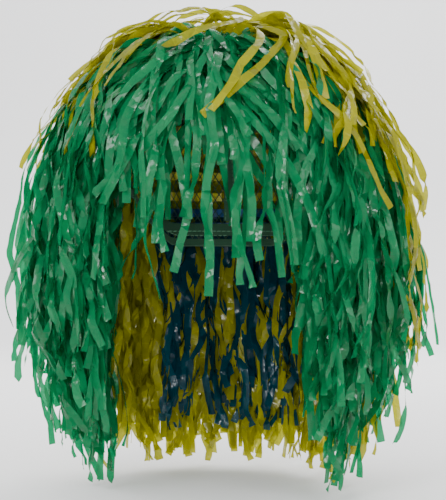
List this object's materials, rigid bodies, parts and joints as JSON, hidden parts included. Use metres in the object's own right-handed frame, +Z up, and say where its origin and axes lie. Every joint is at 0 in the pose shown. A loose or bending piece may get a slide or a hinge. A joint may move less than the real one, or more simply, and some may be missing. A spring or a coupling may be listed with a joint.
{
  "type": "costume wig",
  "caption": "Full party wig of glossy translucent film strips in green, yellow and blue, sewn in rows on an elastic net cap, with a fringe, side curtains and a long back.",
  "frame": {"origin": "the point of the crown that rests on the head: the middle of the flat underside of the crown disc", "axes": "+Z up along the standing head, the wearer looks along -Y, the wearer's left is +X"},
  "size_m": [0.3262, 0.3066, 0.3578],
  "materials": {
    "film_green": "glossy translucent crinkled film",
    "film_yellow": "glossy translucent crinkled film",
    "film_blue": "glossy translucent crinkled film",
    "cap_net": "knitted stretch net",
    "cap_tape": "woven elastic and cotton tape",
    "felt": "soft felt"
  },
  "bodies": {
    "cap": {"crown_net": "cap_net", "elastic_edge_band": "cap_tape", "ear_tab_left": "cap_tape", "ear_tab_right": "cap_tape", "crown_disc": "felt", "lining_tape_front": "cap_tape", "lining_tape_back": "cap_tape", "lining_tape_left": "cap_tape", "lining_tape_right": "cap_tape", "forehead_tape": "cap_tape", "nape_elastic": "cap_tape", "whorl_header_yellow": "film_yellow", "header_green_1": "film_green", "header_green_2": "film_green", "header_green_3": "film_green", "header_green_4": "film_green", "header_green_left_1": "film_green", "header_green_left_2": "film_green", "header_green_right_1": "film_green", "header_green_right_2": "film_green", "header_yellow_1": "film_yellow", "header_yellow_2": "film_yellow", "header_yellow_3": "film_yellow", "header_yellow_4": "film_yellow", "header_yellow_5": "film_yellow", "header_yellow_6": "film_yellow", "header_yellow_7": "film_yellow", "header_yellow_8": "film_yellow", "header_blue_1": "film_blue", "header_blue_2": "film_blue", "crown_strips_top": "film_yellow", "crown_strips_front": "film_green", "crown_strips_left": "film_green", "crown_strips_right": "film_green", "crown_strips_back_left": "film_yellow", "crown_strips_back_right": "film_yellow"},
    "fringe": {"fringe_strips_lower": "film_green", "fringe_strips_upper": "film_green"},
    "left_curtain": {"left_strips_lower": "film_green", "left_strips_upper": "film_green"},
    "right_curtain": {"right_strips_lower": "film_green", "right_strips_upper": "film_green"},
    "back_left_curtain": {"back_left_strips_nape": "film_blue", "back_left_strips_lower": "film_yellow", "back_left_strips_upper": "film_yellow"},
    "back_right_curtain": {"back_right_strips_nape": "film_blue", "back_right_strips_lower": "film_yellow", "back_right_strips_upper": "film_yellow"}
  },
  "joints": [
    {"name": "fringe_swing", "type": "hinge", "parent": "cap", "child": "fringe", "pos_m": [0, -0.0952, -0.0515], "axis": [-1, 0, 0], "range_deg": [0, 50]},
    {"name": "left_swing", "type": "hinge", "parent": "cap", "child": "left_curtain", "pos_m": [0.08259, 0, -0.0892], "axis": [0, -1, 0], "range_deg": [0, 30]},
    {"name": "right_swing", "type": "hinge", "parent": "cap", "child": "right_curtain", "pos_m": [-0.08259, 0, -0.0892], "axis": [0, 1, 0], "range_deg": [0, 30]},
    {"name": "back_left_swing", "type": "hinge", "parent": "cap", "child": "back_left_curtain", "pos_m": [0.04554, 0.08748, -0.0892], "axis": [0.887, -0.4617, 0], "range_deg": [0, 30]},
    {"name": "back_right_swing", "type": "hinge", "parent": "cap", "child": "back_right_curtain", "pos_m": [-0.04554, 0.08748, -0.0892], "axis": [0.887, 0.4617, 0], "range_deg": [0, 30]}
  ]
}
